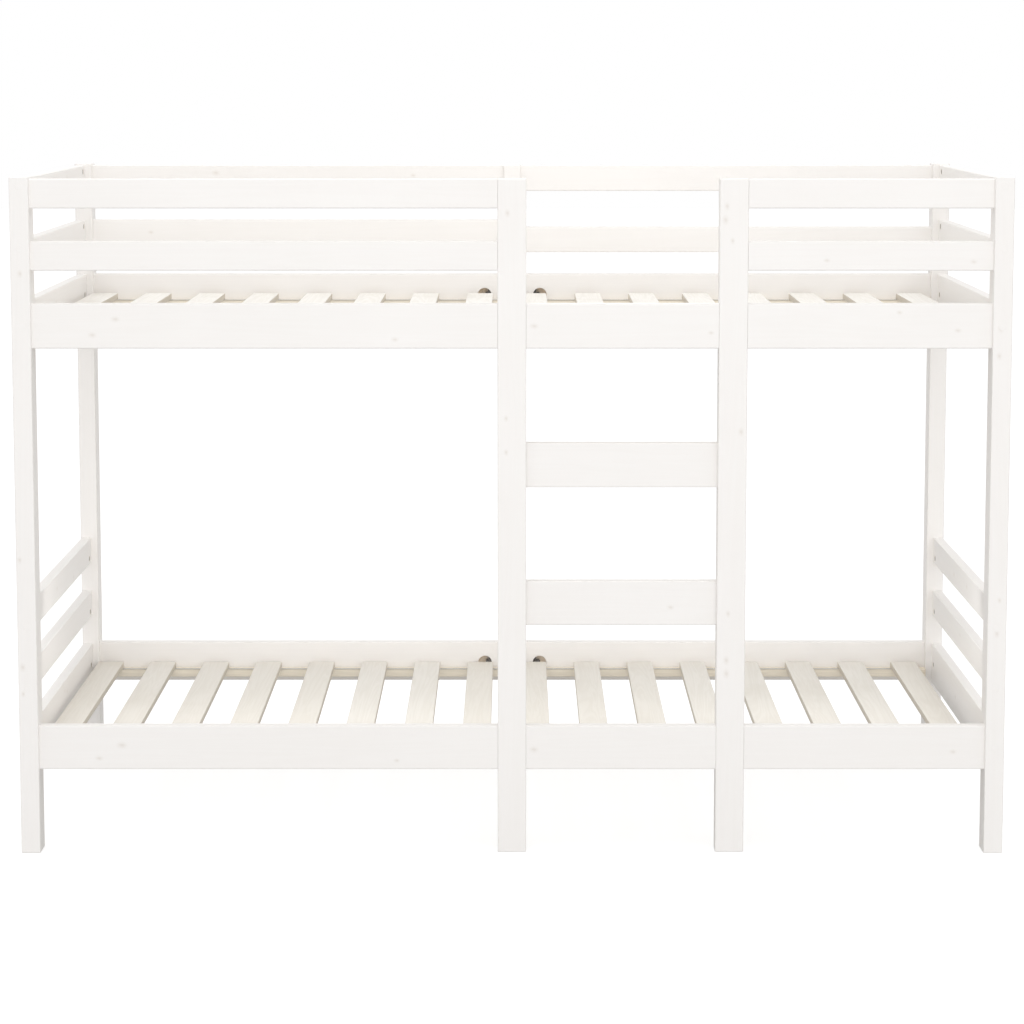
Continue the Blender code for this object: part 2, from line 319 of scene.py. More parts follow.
knot, knot_in, knot_out = start_group(
    "pine_knot", "ShaderNodeTree",
    {"Point": (VECTOR, None), "Centre": (VECTOR, None), "Squash": (VECTOR, (120.0, 0.0, 120.0))},
    {"Stain": FLOAT, "Heart": FLOAT},
)
from_centre = node(
    knot, "ShaderNodeVectorMath", {0: knot_in["Point"], 1: knot_in["Centre"]},
    operation="SUBTRACT",
)
squashed = node(
    knot, "ShaderNodeVectorMath", {0: from_centre.outputs[0], 1: knot_in["Squash"]},
    operation="MULTIPLY",
)
reach = node(knot, "ShaderNodeVectorMath", {0: squashed.outputs[0]}, operation="LENGTH")
ragged = node(
    knot, "ShaderNodeTexNoise", {"Vector": squashed.outputs[0], "Scale": 1.6, "Detail": 2.0}
)
ragged_reach = maths(
    knot, "ADD", reach.outputs["Value"], maths(knot, "MULTIPLY", ragged.outputs["Fac"], 0.5)
)
knot.links.new(span(knot, ragged_reach, *STAIN_LIMITS), knot_out.inputs["Stain"])
knot.links.new(span(knot, ragged_reach, *HEART_LIMITS), knot_out.inputs["Heart"])
print("knot group:", len(knot.nodes), "nodes")

# %% [markdown]
# ## Handling marks
# Two things keep sprayed paint from looking like plastic. It flows away from sharp edges, so the
# rounded edges show slightly warmer and shinier, in broken stretches. And dust, hands and the
# spray itself leave the faces a little uneven in colour and gloss. One group makes both, with the
# fine pebbling of the spray. Where the edges are comes from an attribute stored on the mesh.

# %% Handling group
WEAR_SCALE, CLOUD_SCALE, PEEL_SCALE = 38.0, 3.2, 320.0          # marks per metre
WEAR_LIMITS = (0.42, 0.68, 0.25, 1.0)

handling, handling_in, handling_out = start_group(
    "paint_handling", "ShaderNodeTree",
    {"Point": (VECTOR, None), "Edge": (FLOAT, 0.0)},
    {"Wear": FLOAT, "Cloud": FLOAT, "Orange Peel": FLOAT},
)
wear_noise = node(
    handling, "ShaderNodeTexNoise",
    {"Vector": handling_in["Point"], "Scale": WEAR_SCALE, "Detail": 4.0, "Roughness": 0.7},
)
broken = span(handling, wear_noise.outputs["Fac"], *WEAR_LIMITS)
wear = maths(handling, "MULTIPLY", broken, handling_in["Edge"])
cloud_noise = node(
    handling, "ShaderNodeTexNoise",
    {"Vector": handling_in["Point"], "Scale": CLOUD_SCALE, "Detail": 3.0, "Roughness": 0.6},
)
peel_noise = node(
    handling, "ShaderNodeTexNoise",
    {"Vector": handling_in["Point"], "Scale": PEEL_SCALE, "Detail": 1.0},
)
handling.links.new(wear, handling_out.inputs["Wear"])
handling.links.new(cloud_noise.outputs["Fac"], handling_out.inputs["Cloud"])
handling.links.new(peel_noise.outputs["Fac"], handling_out.inputs["Orange Peel"])
print("handling group:", len(handling.nodes), "nodes")

# %% [markdown]
# ## White paint on pine
# One recipe makes every painted finish: warm white, a little darker and warmer where the rings
# and knots grin through, shinier on the edges. The bump adds the fibre of the grain, the raised
# knots and the fine pebbling of sprayed paint. Each board gets its own copy, because its knots
# are its own.

# %% Paint recipe
PAINT_WHITE = (0.885, 0.865, 0.845, 1.0)
PAINT_SHADE = (0.842, 0.812, 0.782, 1.0)
PAINT_EDGE = (0.800, 0.775, 0.745, 1.0)
KNOT_STAIN = (0.66, 0.60, 0.53, 1.0)
KNOT_HEART = (0.50, 0.43, 0.36, 1.0)
ALONG_X, ALONG_Y, ALONG_Z = 0, 1, 2
GRAIN_ALONG, GRAIN_ACROSS = 1.1, 24.0
RINGS_SHOW, CLOUDS_SHOW, WEAR_SHOWS = 0.13, 0.55, 0.7       # how much of each tint comes through
STAIN_SHOWS, HEART_SHOWS = 0.22, 0.16
FIBRE_RELIEF, PEEL_RELIEF, KNOT_RELIEF = 0.5, 0.15, 0.5     # shares of the bump's height
SMOOTHEST, CLOUD_ROUGHENS, WEAR_POLISHES = 0.36, 0.16, -0.10


def stretch_for(along):
    """The grain group's stretch for a board whose grain runs along one axis."""
    return [GRAIN_ALONG if axis == along else GRAIN_ACROSS for axis in range(3)]


def start_material(name):
    """A new material; returns it, its tree, its shader and the Object coordinates."""
    material = bpy.data.materials.new(name)
    material.use_nodes = True
    tree = material.node_tree
    place = tree.nodes.new("ShaderNodeTexCoord")
    return material, tree, tree.nodes["Principled BSDF"], place.outputs["Object"]


def use_group(tree, group, inputs):
    """Place a shader group in a material."""
    return node(tree, "ShaderNodeGroup", inputs, node_tree=group).outputs


def dress(tree, shader, colour, rough, height, strength, depth):
    """Give a shader its colour, its roughness and a bump as deep as given, in metres."""
    put(tree, colour, shader.inputs["Base Color"])
    put(tree, rough, shader.inputs["Roughness"])
    bump = node(tree, "ShaderNodeBump", {"Height": height, "Strength": strength, "Distance": depth})
    put(tree, bump.outputs["Normal"], shader.inputs["Normal"])


def painted_pine(name, along, knots):
    """White paint over pine. Knots are (centre, squash) pairs of vectors, in metres."""
    material, tree, shader, point = start_material(name)
    rings = use_group(tree, grain, {"Point": point, "Stretch": stretch_for(along)})
    edge = node(tree, "ShaderNodeAttribute", attribute_name="edge").outputs["Fac"]
    marks = use_group(tree, handling, {"Point": point, "Edge": edge})
    shade = maths(tree, "MULTIPLY", rings["Rings"], RINGS_SHOW)
    cloudy = maths(tree, "MULTIPLY_ADD", marks["Cloud"], CLOUDS_SHOW, shade, clamp=True)
    colour = blend_colours(tree, cloudy, PAINT_WHITE, PAINT_SHADE)
    worn = maths(tree, "MULTIPLY", marks["Wear"], WEAR_SHOWS)
    colour = blend_colours(tree, worn, colour, PAINT_EDGE)
    peel = maths(tree, "MULTIPLY", marks["Orange Peel"], PEEL_RELIEF)
    height = maths(tree, "MULTIPLY_ADD", rings["Fibre"], FIBRE_RELIEF, peel)
    for centre, squash in knots:
        spot = use_group(tree, knot, {"Point": point, "Centre": centre, "Squash": squash})
        stain = maths(tree, "MULTIPLY", spot["Stain"], STAIN_SHOWS)
        colour = blend_colours(tree, stain, colour, KNOT_STAIN)
        heart = maths(tree, "MULTIPLY", spot["Heart"], HEART_SHOWS)
        colour = blend_colours(tree, heart, colour, KNOT_HEART)
        height = maths(tree, "MULTIPLY_ADD", spot["Stain"], KNOT_RELIEF, height)
    rough = maths(tree, "MULTIPLY_ADD", marks["Cloud"], CLOUD_ROUGHENS, SMOOTHEST)
    rough = maths(tree, "MULTIPLY_ADD", marks["Wear"], WEAR_POLISHES, rough)
    dress(tree, shader, colour, rough, height, 0.18, 0.0006)
    return material


print("paint recipe ready")

# %% [markdown]
# ## Bare pine and slat wood
# Bare wood shows inside the drilled pockets and on every slat. The slats are planed spruce, each
# cut from a different plank, so each carries a tone of its own that the slat tree stores on it.
# The upper row is given paler colours than the lower one, a painted highlight for the fuller light
# that reaches it from above. The narrow sides are painted darker as painted shade, and soft cloudy
# patches as painted shadow. A drill leaves a rough, warm wall across the grain, so the pockets
# have a recipe of their own.

# %% Bare wood recipes
SLAT_PALE = (0.775, 0.745, 0.690, 1.0)
# Also the colour that the painted shadow patches darken towards.
SLAT_RING_AND_SHADOW = (0.610, 0.565, 0.485, 1.0)
SLAT_WARM = (0.710, 0.670, 0.600, 1.0)
# Painted highlight: the upper row's colours are paler than the lower row's, for the fuller light that
# falls on it.
UPPER_LIT_PALE = (0.860, 0.840, 0.800, 1.0)
UPPER_LIT_WARM = (0.810, 0.780, 0.725, 1.0)
# Painted shade: the darker colour of the slats' narrow sides, which face away from the light.
SLAT_SIDE_SHADE = (0.600, 0.540, 0.450, 1.0)
DRILLED_PINE = (0.96, 0.89, 0.79, 1.0)
DRILLED_DARK = (0.88, 0.74, 0.58, 1.0)
DRILLED_STRETCH = (60.0, 160.0, 160.0)
SLAT_WAVINESS = 0.9
STREAKS_SHOW = 0.20
# Painted shadow: the limits and strength of the soft cloudy patches that darken the bare wood.
PAINTED_SHADOW_PATCHES = (0.52, 0.78, 0.0, 0.35)


def bare_spruce(name, along, pale, warm):
    """Unpainted spruce; the narrow sides, marked on the mesh, are darker than the faces, as painted
    shade.
    """
    material, tree, shader, point = start_material(name)
    rings = use_group(tree, grain, {
        "Point": point, "Stretch": stretch_for(along), "Waviness": SLAT_WAVINESS,
    })
    tone = node(tree, "ShaderNodeAttribute", attribute_name="tone").outputs["Fac"]
    colour = blend_colours(tree, tone, pale, warm)
    streak = maths(tree, "MULTIPLY", rings["Rings"], STREAKS_SHOW)
    colour = blend_colours(tree, streak, colour, SLAT_RING_AND_SHADOW)
    marks = use_group(tree, handling, {"Point": point})
    # Painted shadow: soft cloudy patches darkened towards the ring colour.
    dark = span(tree, marks["Cloud"], *PAINTED_SHADOW_PATCHES)
    colour = blend_colours(tree, dark, colour, SLAT_RING_AND_SHADOW)
    # Painted shade on the narrow sides, read from the mark stored on the slats.
    painted_side_shade = node(tree, "ShaderNodeAttribute", attribute_name="painted_side_shade").outputs["Fac"]
    colour = blend_colours(tree, painted_side_shade, colour, SLAT_SIDE_SHADE)
    rough = maths(tree, "MULTIPLY_ADD", rings["Fibre"], CLOUD_ROUGHENS, SMOOTHEST)
    dress(tree, shader, colour, rough, rings["Fibre"], 0.4, 0.0006)
    return material


def drilled_pine():
    """The rough wall of a drilled hole."""
    material, tree, shader, point = start_material("drilled_pine")
    rings = use_group(tree, grain, {"Point": point, "Stretch": DRILLED_STRETCH})
    colour = blend_colours(tree, rings["Fibre"], DRILLED_DARK, DRILLED_PINE)
    dress(tree, shader, colour, 0.85, rings["Fibre"], 0.6, 0.001)
    return material


# The same spruce twice: the upper copy is painted lighter, as painted light from above.
SLAT_WOODS = {
    "lower": bare_spruce("lower_slat_spruce", ALONG_Y, SLAT_PALE, SLAT_WARM),
    "upper": bare_spruce("upper_slat_spruce_painted_lighter", ALONG_Y, UPPER_LIT_PALE, UPPER_LIT_WARM),
}
BARE_PINE = drilled_pine()
print("bare wood ready")

# %% [markdown]
# ## Steel and webbing
# The fittings are zinc-plated and then darkened, so they are a soft dark grey with brighter
# scuffs where a spanner has turned them. The straps are woven tape: two sets of threads cross
# at right angles, which two sine waves in a product describe well enough at this scale.

# %% Steel and webbing recipes
STEEL_DARK = (0.060, 0.057, 0.055, 1.0)
STEEL_SCUFF = (0.30, 0.29, 0.28, 1.0)
TAPE_LIGHT = (0.80, 0.78, 0.74, 1.0)
TAPE_DARK = (0.52, 0.50, 0.46, 1.0)
THREADS_PER_METRE = 900.0
STEEL_METALLIC = 0.9
STEEL_ROUGH, STEEL_UNEVEN = 0.25, 0.3
TAPE_ROUGH, TAPE_UNEVEN = 0.8, 0.1


def dark_steel():
    """Darkened zinc plating with scuffs."""
    material, tree, shader, point = start_material("dark_zinc_steel")
    marks = use_group(tree, handling, {"Point": point, "Edge": 1.0})
    scuff = maths(tree, "MULTIPLY", marks["Wear"], WEAR_SHOWS)
    colour = blend_colours(tree, scuff, STEEL_DARK, STEEL_SCUFF)
    rough = maths(tree, "MULTIPLY_ADD", marks["Cloud"], STEEL_UNEVEN, STEEL_ROUGH)
    shader.inputs["Metallic"].default_value = STEEL_METALLIC
    dress(tree, shader, colour, rough, marks["Orange Peel"], 0.2, 0.0003)
    return material


def woven_tape():
    """Cream tape, woven over and under."""
    material, tree, shader, point = start_material("woven_tape")
    axes = node(tree, "ShaderNodeSeparateXYZ", {"Vector": point}).outputs
    threads = []
    for axis in ("X", "Y"):
        turn = maths(tree, "MULTIPLY", axes[axis], THREADS_PER_METRE * 2 * pi)
        threads.append(maths(tree, "MULTIPLY_ADD", maths(tree, "SINE", turn), 0.5, 0.5))
    weave = maths(tree, "MULTIPLY", threads[0], threads[1])
    colour = blend_colours(tree, weave, TAPE_DARK, TAPE_LIGHT)
    rough = maths(tree, "MULTIPLY_ADD", weave, TAPE_UNEVEN, TAPE_ROUGH)
    dress(tree, shader, colour, rough, weave, 0.5, 0.0004)
    return material


STEEL = dark_steel()
TAPE = woven_tape()
print("steel and tape ready")

# %% [markdown]
# ## Where the knots are
# Boards are chosen with small, sound knots, and most faces have none. The list places the knots
# of the faces that look forward. Each knot is two fractions of its own piece: across it or along
# it from the left, and up from its lower edge, so a knot stays in its board if the board changes.
# The end boards and the back corner posts get up to two from a fixed random draw, because a real
# plank is never clean on every side.

# %% Knot list
SEEN_KNOTS = {
    "corner_post_front_left": [(0.5, 0.86), (0.2, 0.44), (0.25, 0.28), (0.25, 0.24)],
    "corner_post_front_right": [(0.4, 0.78), (0.35, 0.74), (0.6, 0.38), (0.5, 0.33)],
    "ladder_post_left": [(0.35, 0.95), (0.3, 0.65), (0.3, 0.60)],
    "ladder_post_right": [
        (0.25, 0.96), (0.2, 0.94), (0.45, 0.91), (0.4, 0.36), (0.35, 0.29), (0.35, 0.27), (0.8, 0.63),
    ],
    "ladder_rung_low": [(0.76, 0.4)],
    "top_guard_back_left": [(0.30, 0.7), (0.78, 0.6)],
    "second_guard_back_left": [(0.14, 0.5)],
    "second_guard_front_right": [(0.32, 0.35), (0.92, 0.3)],
    "upper_rail_front_left": [(0.13, 0.3), (0.18, 0.65), (0.78, 0.2)],
    "upper_rail_front_middle": [(0.04, 0.5), (0.96, 0.35)],
    "upper_rail_front_right": [(0.62, 0.8), (0.86, 0.4)],
    "lower_rail_front_left": [(0.13, 0.25), (0.18, 0.55), (0.78, 0.2)],
    "lower_rail_front_middle": [(0.04, 0.45)],
    "lower_rail_front_right": [(0.87, 0.4)],
}
KNOT_RADIUS = 0.0072
KNOT_SPREAD = (0.75, 1.25)      # the smallest and largest knot, as shares of the radius
KNOT_LENGTHENING = 1.5          # a knot is longer along the grain than across it
KNOT_MARGIN = (0.2, 0.8)        # where in a board a drawn knot may lie
draw = random.Random(7)


def knots_of(name, low, high, along):
    """(centre, squash) of each knot in a board between two corners."""
    through = ALONG_X if along == ALONG_Y else ALONG_Y
    wide = 1 - through
    places = SEEN_KNOTS.get(name)
    if places is None and ("_end_" in name or name.startswith("corner_post_back")):
        places = [
            (draw.uniform(*KNOT_MARGIN), draw.uniform(*KNOT_MARGIN))
            for _ in range(draw.choice((0, 1, 2)))
        ]
    found = []
    for first, rise in places or ():
        size = KNOT_RADIUS * draw.uniform(*KNOT_SPREAD)
        squash = [1 / size] * 3
        squash[along] = 1 / (size * KNOT_LENGTHENING)
        squash[through] = 0.0
        centre = [0.0, 0.0, low.z + rise * (high.z - low.z)]
        centre[wide] = low[wide] + first * (high[wide] - low[wide])
        found.append((centre, squash))
    return found


print(sum(len(places) for places in SEEN_KNOTS.values()), "listed knots")

# %% [markdown]
# ## A planed board
# Every post and board is a rectangular block with eased edges. The frame gives its two corners.
# A cube is stretched between them, its edges are rounded in three steps, and holes are cut with
# exact booleans, so a pocket really is a pocket. The face of each rounded edge is then marked in
# an attribute for the paint. Weighted normals keep the wide faces flat and the edges smooth.

# %% Board builders
EDGE_STEPS = 3
FLAT_ENOUGH = 0.9995
SHARP_ANGLE = radians(50)
WIDE_FACES_RULE = 100           # the strongest weight that the normals of wide faces can have


def finish_mesh(shape, name):
    """Turn a bmesh into a mesh, and free it."""
    mesh = bpy.data.meshes.new(name)
    shape.to_mesh(mesh)
    shape.free()
    return mesh


def rounded_block(name, low, high, edge, along=None):
    """A block between two corners. Given an axis, only the edges that run along it are rounded."""
    shape = bmesh.new()
    bmesh.ops.create_cube(shape, size=1.0)
    size = Vector(high) - Vector(low)
    bmesh.ops.scale(shape, vec=size, verts=shape.verts)
    bmesh.ops.translate(shape, vec=(Vector(low) + Vector(high)) / 2, verts=shape.verts)
    rounded = [
        line for line in shape.edges
        if along is None or abs((line.verts[0].co - line.verts[1].co)[along]) > edge
    ]
    bmesh.ops.bevel(
        shape, geom=rounded, offset=edge, offset_type="OFFSET", segments=EDGE_STEPS,
        profile=0.5, affect="EDGES",
    )
    return link_object(name, finish_mesh(shape, name))


def drill(centre, axis, radius, depth, sides=32, inside=None):
    """A cylinder for cutting, centred on a point and lying along one axis."""
    shape = bmesh.new()
    bmesh.ops.create_cone(
        shape, cap_ends=True, segments=sides, radius1=radius, radius2=radius, depth=depth
    )
    turn = Matrix.Rotation(pi / 2, 4, {ALONG_X: "Y", ALONG_Y: "X"}[axis])
    bmesh.ops.transform(shape, matrix=Matrix.Translation(centre) @ turn, verts=shape.verts)
    mesh = finish_mesh(shape, "drill")
    mesh.materials.append(inside or BARE_PINE)
    return link_object("drill", mesh)


def cut(piece, cutters):
    """Cut holes in a piece, then drop the cutters."""
    for cutter in cutters:
        boolean = piece.modifiers.new("hole", "BOOLEAN")
        boolean.operation = "DIFFERENCE"
        boolean.solver = "EXACT"
        boolean.material_mode = "TRANSFER"
        boolean.object = cutter
    apply_modifiers(piece)
    for cutter in cutters:
        bpy.data.objects.remove(cutter)


def evaluated_mesh(piece):
    """A plain mesh of what a piece's modifiers make of it."""
    graph = bpy.context.evaluated_depsgraph_get()
    return bpy.data.meshes.new_from_object(
        piece.evaluated_get(graph), preserve_all_data_layers=True, depsgraph=graph
    )


def apply_modifiers(piece):
    """Replace a piece's mesh with its evaluated one."""
    mesh = evaluated_mesh(piece)
    piece.modifiers.clear()
    piece.data = mesh


def mark_faces(piece, label, chosen):
    """Store 1 on the faces that a test chooses, and 0 on the others."""
    layer = piece.data.attributes.new(label, "FLOAT", "FACE")
    layer.data.foreach_set("value", [float(chosen(face)) for face in piece.data.polygons])


def is_rounded(face):
    """True on the painted faces of a rounded edge, which look along no axis."""
    return face.material_index == 0 and max(abs(part) for part in face.normal) < FLAT_ENOUGH


def smooth_edges(piece):
    """Smooth shading that leaves the wide faces flat."""
    piece.data.shade_smooth()
    weights = piece.modifiers.new("weighted_normals", "WEIGHTED_NORMAL")
    weights.keep_sharp = True
    weights.weight = WIDE_FACES_RULE
    piece.data.set_sharp_from_angle(angle=SHARP_ANGLE)
    apply_modifiers(piece)


def seat(piece, slot, *nodes):
    """Tell the frame what a piece rides on and replaces. The slot argument is not used."""
    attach(piece, "root")
    if nodes:
        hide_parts(*nodes)


print("board builders ready")

# %% [markdown]
# ## Where the holes are
# Flat-pack beds are held by cross bolts. A long bolt goes in through a post and is caught in the
# board by a barrel nut, a steel cylinder lying in a hole drilled from the inner face. The head of
# the bolt sits in a counterbore in the post. On the faces that people see, the counterbore is
# filled with a wooden plug and painted over. On the outer ends it is left open for the key.
# The measured end boards already hold the nut holes, and the same places are worked out here
# from the boards' own boxes.

# %% Joint places
POST_NAMES = [
    f"corner_post_{face}_{end}" for face in ("front", "back") for end in ("left", "right")
]
LONG_BOARDS = ("lower_rail", "upper_rail", "second_guard", "top_guard")
END_BOARDS = {                  # and how far its nuts lie above the middle of each board
    "lower_rail_end": 0.0, "lower_end_guard_low": -0.016, "lower_end_guard_high": -0.016,
    "upper_rail_end": 0.0, "second_guard_end": 0.016, "top_guard_end": 0.016,
}
NUT_FROM_BOARD_END = 0.030
NUT_HOLE_RADIUS = 0.007
NUT_HOLE_DEPTH = 0.018
PLUG_RADIUS = 0.008
PLUG_DEPTH = 0.0035
KEY_HOLE_RADIUS = 0.0085
KEY_HOLE_DEPTH = 0.006
SIDES = {"left": -1, "right": 1}


def middle_of(name):
    """The middle of a measured piece's box."""
    low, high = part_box(name)
    return (low + high) / 2


plug_places, head_places, nut_places = [], [], {"left": [], "right": []}
for end, side in SIDES.items():
    for kind, rise in END_BOARDS.items():
        low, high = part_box(f"{kind}_{end}")
        inner_x = high.x if side < 0 else low.x
        height = (low.z + high.z) / 2 + rise
        for y in (low.y + NUT_FROM_BOARD_END, high.y - NUT_FROM_BOARD_END):
            nut_places[end].append(Vector((inner_x, y, height)))
        for face, y in (("front", CAD_LOW.y), ("back", CAD_HIGH.y)):
            post_middle = middle_of(f"corner_post_{face}_{end}")
            plug_places.append((f"corner_post_{face}_{end}", Vector((post_middle.x, y, height))))
    for face in ("front", "back"):
        for kind in LONG_BOARDS:
            board = middle_of(f"{kind}_{face}_{end}")
            place = Vector((side * BED_SIZE.x / 2, board.y, board.z))
            head_places.append((f"corner_post_{face}_{end}", place))
print(len(plug_places), "plugs,", len(head_places), "bolt heads,",
      sum(map(len, nut_places.values())), "barrel nuts")

# %% [markdown]
# ## Posts
# The posts are square and only lightly eased, so that the boards meet them without a groove. Corner
# posts are drilled for the plugs in their front or back faces, and for the bolt heads in their
# outer faces. The middle post has one hole through it at each rail, for the bolts that pull the
# back together. Each board is made longer at its ends by the gap that measured pieces keep.

# %% Build the posts
POST_EDGE = 0.002
FIT = 0.0003                    # measured boards stop this short of the posts; paint bridges it
BOLT_HOLE_RADIUS = 0.0045
BOLT_HOLE_SIDES = 24
BOLT_HOLE_LENGTH = 0.1          # longer than the post is thick, so it goes through
BOLT_LEVELS = {level: middle_of(f"middle_bolt_{level}").z for level in ("lower", "upper")}


def build_board(name, slot, along, edge, cutters=(), finish=None):
    """Build, drill, paint and seat one board in place of its measured node."""
    low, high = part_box(name)
    knots = knots_of(name, low, high, along)
    if along != ALONG_Z:
        low[along] -= FIT
        high[along] += FIT
    piece = rounded_block(name + "_board", low, high, edge, None if along == ALONG_Z else along)
    piece.data.materials.append(finish or painted_pine(f"white_paint_{name}", along, knots))
    if cutters:
        cut(piece, cutters)
    mark_faces(piece, "edge", is_rounded)
    smooth_edges(piece)
    seat(piece, slot, name)
    return piece


PLUG_PAINT = painted_pine("white_paint_plugs", ALONG_X, [])
posts = []
for name in POST_NAMES:
    holes = [drill(place, ALONG_Y, PLUG_RADIUS, 2 * PLUG_DEPTH, inside=PLUG_PAINT)
             for owner, place in plug_places if owner == name]
    holes += [drill(place, ALONG_X, KEY_HOLE_RADIUS, 2 * KEY_HOLE_DEPTH)
              for owner, place in head_places if owner == name]
    posts.append(build_board(name, "post_paint", ALONG_Z, POST_EDGE, holes))
for name in ("ladder_post_left", "ladder_post_right"):
    posts.append(build_board(name, "post_paint", ALONG_Z, POST_EDGE))
back_middle = middle_of("middle_post_back")
bolt_holes = [
    drill((back_middle.x, back_middle.y, height), ALONG_X, BOLT_HOLE_RADIUS, BOLT_HOLE_LENGTH,
          BOLT_HOLE_SIDES)
    for height in BOLT_LEVELS.values()
]
posts.append(build_board("middle_post_back", "post_paint", ALONG_Z, POST_EDGE, bolt_holes))
print(len(posts), "posts,", sum(len(post.data.polygons) for post in posts), "faces")

# %% [markdown]
# ## Rails and guards
# The boards that run along the bed are thinner than the posts and set a little behind their
# faces. The two back rails meet at the middle post, and each has a round pocket there, drilled
# from the inside, which takes the half-moon washer and the nut. A bolt hole leads from the end of
# the rail into the pocket.

# %% Build the boards along the bed
BOARD_EDGE = 0.0025
POCKET_RADIUS = 0.0165
POCKET_DEPTH = 0.020
POCKET_FROM_MIDDLE = 0.066
POCKET_SIDES = 48

long_boards = []
for name in sorted(frame["nodes"]):
    is_long = name.startswith(LONG_BOARDS) and "_end_" not in name
    if not is_long:
        continue
    cutters = []
    if "_rail_back_" in name:
        side = SIDES[name.rsplit("_", 1)[1]]
        height = BOLT_LEVELS[name.split("_", 1)[0]]
        pocket = (back_middle.x + side * POCKET_FROM_MIDDLE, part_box(name)[0].y, height)
        cutters.append(drill(pocket, ALONG_Y, POCKET_RADIUS, 2 * POCKET_DEPTH, POCKET_SIDES))
        bolt_way = (back_middle.x, back_middle.y, height)
        cutters.append(drill(
            bolt_way, ALONG_X, BOLT_HOLE_RADIUS, 2 * POCKET_FROM_MIDDLE, BOLT_HOLE_SIDES
        ))
    long_boards.append(build_board(name, "board_paint", ALONG_X, BOARD_EDGE, cutters))
print(len(long_boards), "boards along the bed")

# %% [markdown]
# ## Boards across the ends
# The six boards of each end carry the holes of the barrel nuts, near both of their ends. The
# joint list above holds every nut of one end, so each board takes those that lie within its own
# height, and drills only them.

# %% Build the boards across the ends
end_boards = []
for end, side in SIDES.items():
    for kind in END_BOARDS:
        name = f"{kind}_{end}"
        low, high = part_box(name)
        cutters = [
            drill(place, ALONG_X, NUT_HOLE_RADIUS, 2 * NUT_HOLE_DEPTH, BOLT_HOLE_SIDES)
            for place in nut_places[end] if low.z < place.z < high.z
        ]
        end_boards.append(build_board(name, "board_paint", ALONG_Y, BOARD_EDGE, cutters))
print(len(end_boards), "boards across the ends")

# %% [markdown]
# ## Rungs and cleats
# The rungs are upright boards let in between the ladder posts, flush with their backs, so the
# front of each rung is a shallow recess. The cleats are plain strips fixed to the rails. Nobody
# sees them once a mattress is in, so they are left bare, and they show as a tan line.

# %% Build the rungs and cleats
CLEAT_EDGE = 0.0012
CLEAT_PALE = (0.90, 0.82, 0.68, 1.0)
CLEAT_WARM = (0.82, 0.72, 0.57, 1.0)
CLEAT_WOOD = bare_spruce("cleat_spruce", ALONG_X, CLEAT_PALE, CLEAT_WARM)

rungs = [build_board(name, "rung_paint", ALONG_X, BOARD_EDGE)
         for name in ("ladder_rung_low", "ladder_rung_high")]
cleats = [build_board(name, "cleat_wood", ALONG_X, CLEAT_EDGE, finish=CLEAT_WOOD)
          for name in sorted(frame["nodes"]) if "_cleat_" in name]
print(len(rungs), "rungs and", len(cleats), "cleats")

# %% [markdown]
# ## Helpers for geometry trees
# Everything that repeats is made by a geometry tree: one shape, placed on many points. A tree's
# inputs are set on its modifier by their identifiers, the result is turned into a plain mesh, and
# the modifier goes with its carrier. Points are a mesh of loose vertices in the frame's metres.

# %% Helpers for geometry trees
INTEGER, GEOMETRY, MATERIAL = "NodeSocketInt", "NodeSocketGeometry", "NodeSocketMaterial"


def start_shape_tree(name, inputs):
    """Start a geometry tree whose first input is the point mesh."""
    sockets = {"Points": (GEOMETRY, None), **inputs}
    return start_group(name, "GeometryNodeTree", sockets, {"Geometry": GEOMETRY})


def end_shape_tree(tree, end, geometry, material):
    """Close a tree: realize what was placed and give it its material."""
    real = node(tree, "GeometryNodeRealizeInstances", {"Geometry": geometry})
    painted = node(
        tree, "GeometryNodeSetMaterial", {"Geometry": real.outputs[0], "Material": material}
    )
    tree.links.new(painted.outputs[0], end.inputs["Geometry"])


def grow(name, tree, points, values):
    """Run a tree on points and return the result as a plain mesh object."""
    cloud = bpy.data.meshes.new(name + "_points")
    cloud.from_pydata([tuple(point) for point in points], [], [])
    carrier = link_object(name + "_carrier", cloud)
    modifier = carrier.modifiers.new("grow", "NODES")
    modifier.node_group = tree
    for item in tree.interface.items_tree:
        if item.item_type == "SOCKET" and item.in_out == "INPUT" and item.name in values:
            modifier[item.identifier] = values[item.name]
    mesh = evaluated_mesh(carrier)
    mesh.name = name
    while mesh.materials[0] is None:
        mesh.materials.pop(index=0)
    bpy.data.objects.remove(carrier)
    return link_object(name, mesh)


def random_node(tree, kind, low, high, seed):
    """A Random Value node between two limits; returns its output."""
    first, second = {"FLOAT_VECTOR": (0, 1), "FLOAT": (2, 3)}[kind]
    made = node(
        tree, "FunctionNodeRandomValue", {first: low, second: high, "Seed": seed}, data_type=kind
    )
    return made.outputs[{"FLOAT_VECTOR": 0, "FLOAT": 1}[kind]]


print("shape helpers ready")

# %% [markdown]
# ## Slat bases
# A roll of slats is sold as one piece: sixteen planed slats held at even spaces by two tapes
# that run under their ends. The tree draws the slat's section, a rectangle with rounded corners,
# sweeps it along a straight line, and sets one on every point of a row. Each slat is turned and
# shifted by a fraction of a millimetre and takes a tone of its own, because no two are alike.

# %% Slat tree
MOST_TURN = 0.0012              # rad
MOST_TONE = 0.6
CORNER_STEPS = 3


